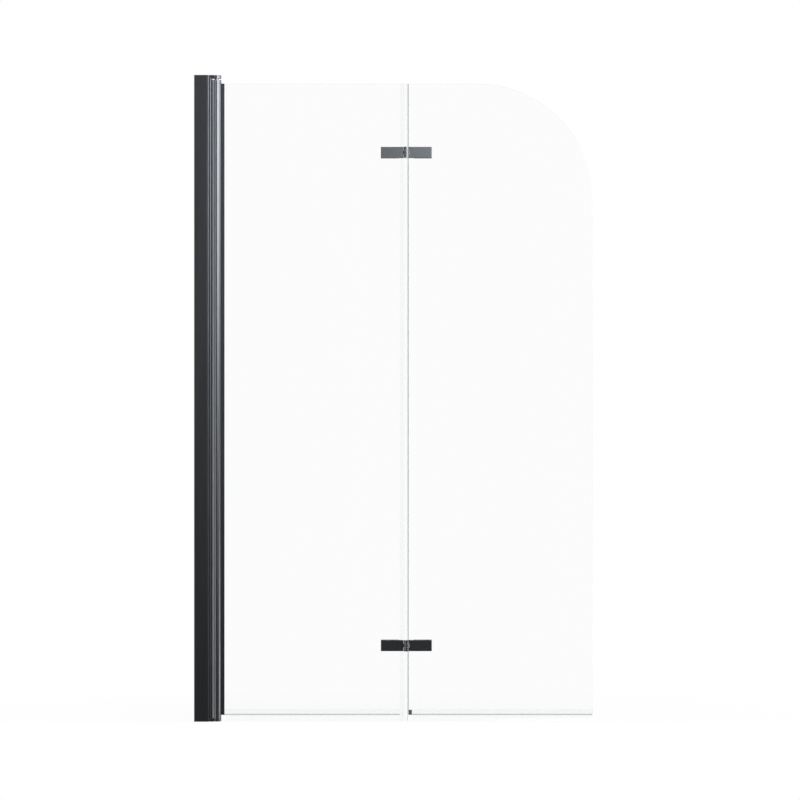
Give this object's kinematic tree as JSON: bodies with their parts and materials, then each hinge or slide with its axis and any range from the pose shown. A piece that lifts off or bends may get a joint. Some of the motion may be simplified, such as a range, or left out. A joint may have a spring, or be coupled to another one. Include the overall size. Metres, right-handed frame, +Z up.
{
  "type": "folding bath screen",
  "caption": "Frameless folding bath screen: clear glass panes on a black wall profile with a vertical pivot, black fold hinges, clear seals and a rounded free corner.",
  "frame": {"origin": "on the wall face of the wall profile, at its foot and on the middle plane of the glass", "axes": "+X out of the wall along the closed panes, +Y to the back of the screen, +Z up; the front with the hinge knuckles faces -Y"},
  "size_m": [0.863, 0.0354, 1.4],
  "materials": {
    "black_aluminium": "satin black anodised extrusion",
    "black_hinge_metal": "satin black coated cast metal",
    "clear_glass": "clear toughened glass with polished edges",
    "clear_seal": "clear flexible plastic extrusion",
    "grey_seal": "dark grey soft extrusion",
    "black_rubber": "matt black rubber",
    "steel": "burnished dark steel pin",
    "black_screw": "black oxide steel",
    "nylon": "natural nylon",
    "black_plastic": "matt black moulded plastic",
    "grey_plastic": "matt dark grey moulded plastic"
  },
  "bodies": {
    "wall_frame": {"wall_profile": "black_aluminium", "bottom_channel_cap": "black_plastic", "top_channel_cap": "black_plastic"},
    "pivot_frame": {"pivot_profile": "black_aluminium", "top_pivot_cap": "black_hinge_metal", "bottom_pivot_cap": "black_hinge_metal", "pivot_cap_screws": "black_screw", "top_pivot_pin": "steel", "bottom_pivot_pin": "steel", "front_pivot_seal": "grey_seal", "rear_pivot_seal": "grey_seal", "adjusting_screws": "black_screw", "adjusting_washers": "black_screw", "adjusting_covers": "black_plastic"},
    "inner_panel": {"glass_profile": "black_aluminium", "glazing_gasket": "black_rubber", "top_pivot_bush": "black_hinge_metal", "bottom_pivot_bush": "black_hinge_metal", "inner_glass": "clear_glass", "upper_hinge_inner_leaf": "black_hinge_metal", "lower_hinge_inner_leaf": "black_hinge_metal", "upper_hinge_inner_back_plate": "black_hinge_metal", "lower_hinge_inner_back_plate": "black_hinge_metal", "upper_hinge_pin": "steel", "lower_hinge_pin": "steel", "inner_hinge_pads": "black_rubber", "inner_hinge_sleeves": "nylon", "inner_hinge_screws": "black_screw", "fold_seal": "clear_seal", "inner_bottom_seal": "clear_seal"},
    "outer_panel": {"outer_glass": "clear_glass", "upper_hinge_outer_leaf": "black_hinge_metal", "lower_hinge_outer_leaf": "black_hinge_metal", "upper_hinge_outer_back_plate": "black_hinge_metal", "lower_hinge_outer_back_plate": "black_hinge_metal", "upper_hinge_bushes": "nylon", "lower_hinge_bushes": "nylon", "outer_hinge_pads": "black_rubber", "outer_hinge_sleeves": "nylon", "outer_hinge_screws": "black_screw", "outer_bottom_seal": "clear_seal", "corner_stop": "grey_plastic"}
  },
  "joints": [
    {"name": "width_adjust", "type": "slide", "parent": "wall_frame", "child": "pivot_frame", "axis": [1, 0, 0], "range_m": [0, 0.012]},
    {"name": "door_pivot", "type": "hinge", "parent": "pivot_frame", "child": "inner_panel", "pos_m": [0.048, 0, 0], "axis": [0, 0, 1], "range_deg": [-60, 90]},
    {"name": "fold", "type": "hinge", "parent": "inner_panel", "child": "outer_panel", "pos_m": [0.4593, -0.0123, 0], "axis": [0, 0, -1], "range_deg": [0, 180]}
  ]
}
